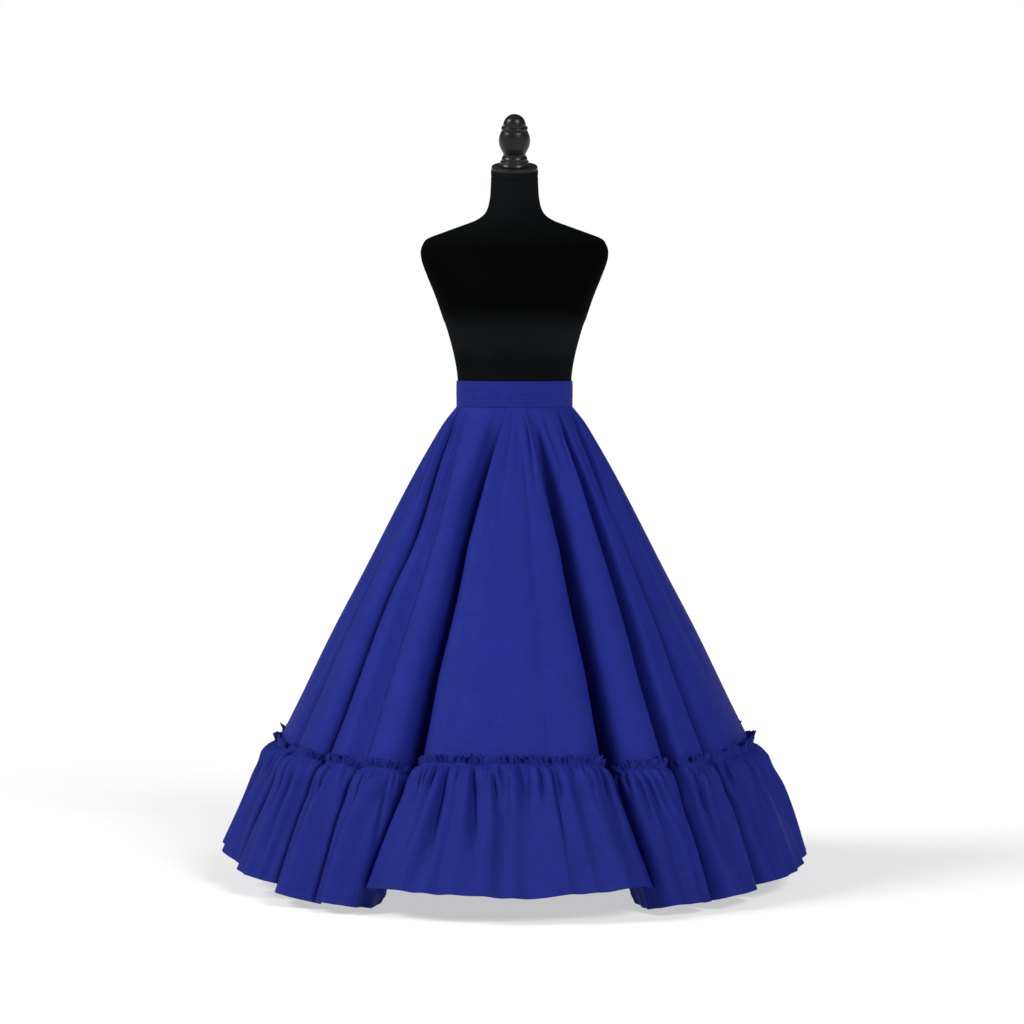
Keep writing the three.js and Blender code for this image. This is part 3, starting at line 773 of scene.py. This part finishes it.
# Ripples round the skirt: wave lengths and their shares.
bulge_waves = ((88, 0.55), (41, 0.6))
cluster_waves = ((150, 0.8), (62, 0.8))
swell_waves = ((143, 0.5), (77, 0.4), (51, 0.25))
header_fine_waves = ((7.8, 0.65), (11.6, 0.5), (29, 0.45))
header_twist_waves = ((9.4, 0.7), (17, 0.6))
header_loop_waves = ((83, 0.6), (137, 0.6))
header_lift_waves = ((10, 0.5), (24, 0.5), (43, 0.5))

# The share of a fold's room that the ruffle takes, and of the round within which it's looked for.
room_share = 0.6
room_reach = 0.095

# Each ripple's phase wanders: how much, and how many times longer than the ripple.
ripple_bends = ((1.2, 5), (0.8, 2.3))
whole_phase = 6.28

# The flat strip is this many times as long as its rows, for its smallest crinkles take up cloth.
crinkle_share = 1.1


def room_outside(points, normals, reach):
    """How far each point can move out before it meets the cloth across its fold."""
    room = np.full(points.shape[:2], 1e6)
    for k in range(-reach, reach + 1, 2):
        other = np.roll(points, k, axis=1) - points
        ahead = (other * normals).sum(axis=2)
        far = (other * other).sum(axis=2) / (2 * np.maximum(ahead, 1e-6))
        room = np.where(ahead > 1e-6, np.minimum(room, far), room)
    return room


def ripple(along, whole, lengths, rng, slip=0.0):
    """An uneven ripple round the skirt, from about -1 to 1."""
    total = 0.0
    for length, share in lengths:
        turn = 2 * np.pi * along / whole
        bend = 0.0
        for much, longer in ripple_bends:
            slow = turn * round(whole / length / longer)
            bend = bend + much * np.sin(slow + rng.uniform(0, whole_phase))
        phase = turn * round(whole / length) + bend + rng.uniform(0, whole_phase)
        total = total + share * np.sin(phase + slip * rng.uniform(-1, 1))
    return total


def gathers(along, whole, below, rng, sizes):
    """Creases that run down from the stitching, from 0 to 1."""
    spacings, crease_lengths, widths, growth = sizes
    field = np.zeros((len(below), len(along)))
    down = np.maximum(below, 0)[:, None]
    place = 0.0
    drift = 0.0
    while place < whole - spacings[0]:
        drift = 0.7 * drift + rng.uniform(-0.12, 0.12)
        length = crease_lengths[0] + (crease_lengths[1] - crease_lengths[0]) * rng.random() ** 2
        width = rng.uniform(*widths) * (1 + down / growth)
        path = place + drift * down
        away = (along[None, :] - path + whole / 2) % whole - whole / 2
        # One side of each crease is steeper than the other.
        side = np.where(away > 0, rng.uniform(0.7, 1.5), 1.0)
        fade = 1 - smooth(0.15 * length, length, down)
        valley = rng.uniform(0.6, 1.0) * fade * np.exp(-np.abs(away * side / width) ** 1.25)
        field = np.maximum(field, valley)
        place += spacings[0] + (spacings[1] - spacings[0]) * rng.random() ** 1.3
    return field


def header_frill(along, whole, below, rng):
    """The crinkled header above the stitching: how far out, aside and up it bends."""
    rise = np.clip(-below / header_height, 0, 1)[:, None]
    fine = ripple(along, whole, header_fine_waves, rng)
    twist = ripple(along, whole, header_twist_waves, rng)
    loops = 1 + 0.65 * ripple(along, whole, header_loop_waves, rng)
    out = 1.4 * rise + rise**0.6 * np.maximum(5.4 + 7.6 * fine * loops, 0.2)
    aside = rise * 5.4 * twist * loops
    lift = rise * (3.4 * ripple(along, whole, header_lift_waves, rng) - 0.4)
    return out, aside, lift


def ruffle_relief(along, whole, room, rng):
    """How far the ruffle stands out of the draped cloth, and bends aside and up."""
    below = ruffle_below
    crest, pucker, swell = (np.interp(below, *rows)[:, None]
                            for rows in (crest_rows, crease_rows, swell_rows))
    bulges = 0.78 + 0.26 * ripple(along, whole, bulge_waves, rng)
    deep = gathers(along, whole, below, rng, long_gathers)
    tight = gathers(along, whole, below, rng, short_gathers)
    pleats = gathers(along, whole, below, rng, small_pleats)
    clusters = 0.62 + 0.38 * np.clip(ripple(along, whole, cluster_waves, rng), -1, 1)
    waves = ripple(along, whole, swell_waves, rng, below[:, None] / 60)
    out, aside, lift = header_frill(along, whole, below, rng)
    creased = np.maximum(tight, 0.8 * pleats)
    distance = out + crest * bulges * (1 - deep) - pucker * creased * clusters + swell * (1 + waves)
    distance = clear_of_panel + np.maximum(distance, 0)
    distance = distance - ruffle_drawn_in * smooth(8, 70, below)[:, None]
    # In a fold it keeps to the room between the walls, and nowhere does it reach into the panel.
    distance = distance * room / (distance**4 + np.maximum(room, 0.1) ** 4) ** 0.25
    nearest = np.interp(below, (8, 40), (clear_of_panel, -8))
    return np.maximum(distance, nearest[:, None]), aside * np.minimum(1, room / 12), lift


def turned_hem(cloth_points, out_now):
    """The rows that are turned up inside the hem."""
    inside = []
    for down in hem_inside:
        r = int(np.searchsorted(ruffle_below, down))
        t = (down - ruffle_below[r - 1]) / (ruffle_below[r] - ruffle_below[r - 1])
        row = cloth_points[r - 1] * (1 - t) + cloth_points[r] * t
        inside.append(row - out_now[r] * hem_turned_in)
    return np.stack(inside)


def row_at(down):
    """The ruffle's row nearest to this far below its stitching."""
    return int(np.argmin(np.abs(ruffle_below - down)))


def ruffle_stitches(name, cloth_points, out_now, columns, sewing):
    """The gathering stitches along the seam, and the hem's."""
    own = columns[:-seam_lap]
    lift_off = ruffle_thick / 2 + 0.12
    stitches = []
    for down, label in ((0, "gathering"), (hem_stitching, "hem")):
        row = row_at(down)
        line = cloth_points[row, own] + out_now[row, own] * lift_off
        places = along_row(line, out_now[row, own], stitch_pitch)
        stitches.append(stitch_row(f"{label}_stitches_{name}", *places, 2.6, sewing))
    return stitches


def ruffles(cloth, sewing):
    """The gathered ruffle with its standing header and turned hem, in three strips."""
    rng = np.random.default_rng(11)
    azimuths, starts = even_azimuths(ruffle_pitch)
    points = hung(azimuths, ruffle_seam + ruffle_below)
    normals = facing(points)
    along, whole = along_round(points[row_at(0)])
    reach = round(len(azimuths) * room_reach)
    room = room_share * room_outside(points, normals, reach) - ruffle_thick
    distance, aside, lift = ruffle_relief(along, whole, room, rng)
    cloth_points = points + normals * distance[:, :, None]
    cloth_points = cloth_points + round_tangents(points) * aside[:, :, None]
    cloth_points[:, :, 2] += lift
    # The stitching along the hem draws the cloth in a little.
    drawn = np.exp(-np.abs(ruffle_below - hem_stitching) / 1.2)[:, None, None]
    cloth_points -= facing(cloth_points) * drawn * hem_drawn_in
    out_now = facing(cloth_points)
    full = np.concatenate((cloth_points, turned_hem(cloth_points, out_now)))
    full_out = np.concatenate((out_now, out_now[-len(hem_inside):]))
    cut_length = crinkle_share * np.mean([along_round(row)[1] for row in cloth_points])
    rows_mm = header_height + np.concatenate((
        ruffle_below, ruffle_length + (ruffle_below[-1] - hem_inside)))
    for which, name in enumerate(piece_names):
        columns = piece_columns(starts, which, len(azimuths))
        part = seamed(full[:, columns].copy(), full_out[:, columns])
        width = cut_length * (len(columns) / len(azimuths)) * MM
        across = np.linspace(0, 1, len(columns)) * width
        cut = grid(across[None, :], -rows_mm[:, None] * MM)
        piece = cloth_piece(f"ruffle_{name}_cloth", part, cut, ruffle_thick, cloth)
        stitches = ruffle_stitches(name, cloth_points, out_now, columns, sewing)
        placed(piece, f"ruffle_{name}")
    print(f"seam {whole:.0f} mm, ruffle {cut_length:.0f} mm")


# The waistband. It wraps the waist from the centre back round, and on over its own beginning.
band_round = math.pi * (waist_half_width + waist_half_depth)
lap_turn = 360 * band_lap / band_round
ramp_turn = 360 * band_ramp / band_round

# Its two stitch lines, the depth of their grooves and the cloth's puff between its edges.
band_stitch_heights = (8.2, 14.2)
band_groove = 0.6
band_puff = 0.3

# Puckers: place across the front, height above the lower edge, half sizes, slant and depth.
band_puckers = (
    (-80, 16, 5, 14, 0.5, 0.9), (-39, 22, 7, 4, -0.6, 0.9), (-31, 13, 4, 6, -0.9, 1.3),
    (-9, 12, 2.6, 8, -0.5, 1.7), (7, 5, 3, 6, 0.4, 1.0), (18, 23, 5, 3, 0.7, 1.1),
    (25, 5, 2.6, 9, -0.5, 1.7), (60, 9, 9, 4, 0.0, 0.8), (96, 12, 4, 12, 0.3, 0.8),
)


def band_place(turn, above, side):
    """A place on the band: its turn in degrees, height above its lower edge and side of its middle."""
    over = smooth(180 - lap_turn / 2 - ramp_turn, 180 - lap_turn / 2, turn)
    out = seam_gap + band_thick / 2 + over * (band_thick + seam_gap) + side
    angle = np.radians(turn)
    x = (waist_half_width + out) * np.sin(angle)
    y = -(waist_half_depth + out) * np.cos(angle)
    z = waist_top - band_height + above
    return grid(x, y, z)


def band_pucker(turn, above):
    """How deep the band's cloth is puckered: by the table in front, and by soft ripples behind."""
    x = waist_half_width * np.sin(np.radians(turn))
    total = np.zeros(np.broadcast(x, above).shape)
    for at, up, wide, tall, slope, depth in band_puckers:
        across = (x - at - slope * (above - up)) / wide
        total = total + depth * np.exp(-across**2 - ((above - up) / tall) ** 2)
    behind = 0.35 * np.sin(turn / 3.1) * np.sin(turn / 7.3 + above / 21) ** 2
    return np.where(np.abs(turn) < 88, total, 0) + np.where(np.abs(turn) < 172, behind * 0.6, 0)


def band_section():
    """The folded cloth's section, from its inner lower edge outside, over the top and down the inside."""
    half = band_thick / 2 - band_cloth / 2
    face = np.concatenate(((0.2, 0.9), np.linspace(2.5, band_height - 2.5, 26),
                           (band_height - 1.4,)))
    bend = [(band_height - half + half * math.sin(a), half * math.cos(a))
            for a in np.radians((10, 35, 65, 90, 115, 145, 170))]
    back = np.linspace(band_height - 2, 0.3, 12)
    rows = [(0.6, half - 0.7), *((up, half) for up in face), *bend, *((up, -half) for up in back)]
    return np.hsplit(np.array(rows), 2)


def waistband(cloth, sewing):
    """The doubled band with its puckers and its two lines of stitches."""
    columns = 420
    turn = np.linspace(-180 + lap_turn / 4, 180 + lap_turn / 2, columns)[None, :]
    above, side = band_section()
    on_face = (side > 0) * smooth(-0.2, 1.0, above)
    grooves = sum(band_groove * np.exp(-((above - up) / 1.1) ** 2) for up in band_stitch_heights)
    puff = band_puff * smooth(0, 8, above) * smooth(band_height, band_height - 12, above)
    relief = puff - grooves - band_pucker(turn, above)
    places = band_place(turn, above, side + on_face * relief)
    length = np.linalg.norm(np.diff(band_place(turn[0], 0, 0), axis=0), axis=1).sum() * MM
    down = np.cumsum(np.hypot(np.diff(above[:, 0], prepend=above[0, 0]),
                              np.diff(side[:, 0], prepend=side[0, 0]))) * MM
    cut = grid(np.linspace(0, length, columns)[None, :], down[:, None])
    piece = cloth_piece("waistband_cloth", places[::-1], cut[::-1], band_cloth, cloth)
    turns = np.linspace(-180 + lap_turn, 180 + lap_turn / 2 - 1, 900)
    surface = band_thick / 2 + 0.05 - band_groove + band_puff
    for label, up in zip(("lower", "upper"), band_stitch_heights):
        line = band_place(turns, up, surface - band_pucker(turns, up))
        out = units(band_place(turns, up, 1.0) - band_place(turns, up, 0.0))
        stitch_row(f"band_stitches_{label}", *along_row(line, out, 3.4), 2.5, sewing)
    placed(piece, "waistband")
    print(f"waistband: {length:.3f} x {down[-1]:.3f} m")


# The button: its section from its back round to its hollowed face, its four holes and the worked
# edges of its buttonhole.
button_outline = (
    (6.2, 0), (7.6, 0.5), (8, 1.4), (7.8, 2.4), (7.1, 2.95), (6.2, 2.9), (5.6, 2.35), (5.1, 2.0),
)
button_hole_off = 1.7
button_hole_radius = 0.9
buttonhole_half_length = 10.4
buttonhole_half_gap = 0.85


def drilled(button, material):
    """Cuts the button's four holes."""
    drill = bmesh.new()
    for x in (button_hole_off, -button_hole_off):
        for y in (button_hole_off, -button_hole_off):
            bmesh.ops.create_cone(drill, segments=16, radius1=button_hole_radius * MM,
                                  radius2=button_hole_radius * MM, depth=8 * MM, cap_ends=True,
                                  matrix=Matrix.Translation((x * MM, y * MM, 0)))
    drill_piece = finished("drill", drill, material)
    cut = button.modifiers.new("holes", "BOOLEAN")
    cut.object = drill_piece
    cut.operation = "DIFFERENCE"
    make_final(button)
    bpy.data.objects.remove(drill_piece)


def upright_stitches(name, points, length, sewing, width):
    """Upright threads on the band's back."""
    upright = np.tile((0.0, 0.0, 1.0), (len(points), 1))
    backward = np.tile((0.0, 1.0, 0.0), (len(points), 1))
    stitch_row(name, np.array(points), upright, backward, length, sewing, width)


def back_button(sewing):
    """A flat four-hole button, sewn on through its buttonhole."""
    face = waist_half_depth + 2 * band_thick + 3 * seam_gap
    middle = waist_top - band_height / 2
    material = button_gloss()
    button = turned_piece("waistband_button_detail", smooth_path(button_outline, 3), 48, material,
                          Matrix(), 60)
    fill = bmesh.new()
    fill.from_mesh(button.data)
    bmesh.ops.holes_fill(fill, edges=[e for e in fill.edges if e.is_boundary], sides=0)
    bmesh.ops.recalc_face_normals(fill, faces=fill.faces)
    fill.to_mesh(button.data)
    fill.free()
    drilled(button, material)
    button.data.transform(Matrix.Translation((0, face * MM, middle * MM))
                          @ Matrix.Rotation(-math.pi / 2, 4, "X"))
    threads = [(side + shift, face + 2.15, middle) for side in (-button_hole_off, button_hole_off)
               for shift in (-0.25, 0.25)]
    upright_stitches("button_thread", threads, 4.4, sewing, 0.5)
    # The buttonhole's worked edges show on both sides of the button.
    edges = [(x, face - seam_gap + 0.12, middle + up)
             for up in (-buttonhole_half_gap, buttonhole_half_gap)
             for x in np.arange(-buttonhole_half_length, buttonhole_half_length + 0.1, 0.62)]
    upright_stitches("buttonhole_stitches", edges, 1.9, sewing, 0.6)
    placed(button, "waistband_button")


# The dress form: its mesh, its arm plates and the groove at the foot of the neck's bound edge.
torso_columns = 192
torso_rows = np.concatenate((
    np.linspace(-262, 240, 76), np.linspace(245, 342, 40), np.linspace(346, 414, 18),
    (415.5, 417, 418, 419, 420.5, 424, 429, 431.2, neck_top_above),
))
plate_thick = 1.3
bound_edge_above = 418
groove_depth = 0.9


def torso(material):
    """The covered torso, with its arm plates under the velvet and the bound edge of its neck."""
    angle = np.linspace(0, 2 * np.pi, torso_columns, endpoint=False)[None, :]
    up = torso_rows[:, None]
    lean = smooth(shoulder_above + 40, neck_top_above, up)
    depth = np.where(np.cos(angle) > 0, reading(form_rings, 2, up), reading(form_rings, 3, up))
    x = reading(form_rings, 1, up) * np.sin(angle)
    y = -depth * np.cos(angle)
    plate = smooth(0.8, 0.9, np.abs(np.sin(angle))) * smooth(118, 122, up) * smooth(282, 262, up)
    groove = groove_depth * np.exp(-((up - bound_edge_above) / 1.4) ** 2)
    rounding = 1.2 * smooth(430.2, neck_top_above, up)
    grown = 1 + (plate_thick * plate - groove - rounding) / np.hypot(x, y)
    x, y = x * grown, y * grown - neck_forward * lean
    z = waist_top + up + y * math.tan(neck_tilt) * lean
    places = grid(x, y, z)
    bm = bmesh.new()
    bmesh.ops.create_grid(bm, x_segments=torso_columns, y_segments=len(torso_rows) - 1, size=0.5)
    for vertex in bm.verts:
        c = round((vertex.co.x + 0.5) * torso_columns) % torso_columns
        r = round((vertex.co.y + 0.5) * (len(torso_rows) - 1))
        vertex.co = places[r, c] * MM
    bmesh.ops.remove_doubles(bm, verts=bm.verts, dist=1e-6)
    rims = [edge for edge in bm.edges if edge.is_boundary]
    bmesh.ops.holes_fill(bm, edges=rims, sides=0)
    bmesh.ops.recalc_face_normals(bm, faces=bm.faces)
    for edge in rims:
        edge.smooth = False
    placed(finished("form_torso_velvet", bm, material), "form_torso")


def neck_place(up):
    """The place of a turned piece that stands square on the leaning neck, this far above its top."""
    middle = (form_rings[-1, 3] - form_rings[-1, 2]) / 2 - neck_forward
    top = waist_top + neck_top_above + middle * math.tan(neck_tilt)
    base = Matrix.Translation(Vector((0, middle, top)) * MM)
    return base @ Matrix.Rotation(neck_tilt, 4, "X") @ Matrix.Translation((0, 0, up * MM))


def form_top():
    """The neck cap with its rounded edge, and the turned finial on it."""
    edge = 2.2
    arc = [(cap_radius - edge + edge * math.sin(a), cap_thick - edge + edge * math.cos(a))
           for a in np.radians((90, 72, 54, 36, 18, 0))]
    outline = [(0, 0), (cap_radius - 1.2, 0), (cap_radius - 0.3, 0.4), (cap_radius, 1.3), *arc,
               (cap_radius - 8, cap_thick), (0, cap_thick)]
    cap = turned_piece("neck_cap_detail", outline, 128, cap_paint(), neck_place(seam_gap))
    finial = turned_piece("finial_detail", [(0, 0.3), *smooth_path(finial_profile[1:], 5)], 96,
                          turned_gloss(), neck_place(seam_gap + cap_thick), 70)
    placed(cap, "form_neck_cap")
    placed(finial, "form_finial")


def stand():
    """The plain pole, and the round base with its hub."""
    paint = stand_paint()
    low, high = (corner.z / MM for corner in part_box("stand_pole"))
    soft = 1.0
    pole_outline = [(0, low), (pole_radius - soft, low), (pole_radius, low + soft),
                    (pole_radius, high - soft), (pole_radius - soft, high), (0, high)]
    pole = turned_piece("stand_pole_detail", pole_outline, 64, paint, Matrix())
    foot = base_thick + hub_height
    base_outline = [(0, 0), (base_radius - 0.8, 0), (base_radius, 0.8), (base_radius, base_thick - 4),
                    (base_radius - 1.2, base_thick - 1.2), (base_radius - 4, base_thick),
                    (hub_radius + 4, base_thick), (hub_radius + 1.2, base_thick + 1.2),
                    (hub_radius, base_thick + 4), (hub_radius - 5, foot - 3),
                    (hub_radius - 6, foot - 0.9), (hub_radius - 8, foot), (0, foot)]
    base = turned_piece("stand_base_detail", base_outline, 128, paint, Matrix(), 30)
    placed(pole, "stand_pole")
    placed(base, "stand_base")


camera()
studio()
cloth = cotton("blue cotton", 1.0)
# The ruffle's copy of the same cotton is coloured darker: painted shade for the shade among its gathers.
ruffle_cloth_painted_shade = cotton("blue cotton, darker for painted shade", 0.9)
sewing = thread()
skirt_panels(cloth)
ruffles(ruffle_cloth_painted_shade, sewing)
waistband(cloth, sewing)
back_button(sewing)
torso(velvet())
form_top()
stand()
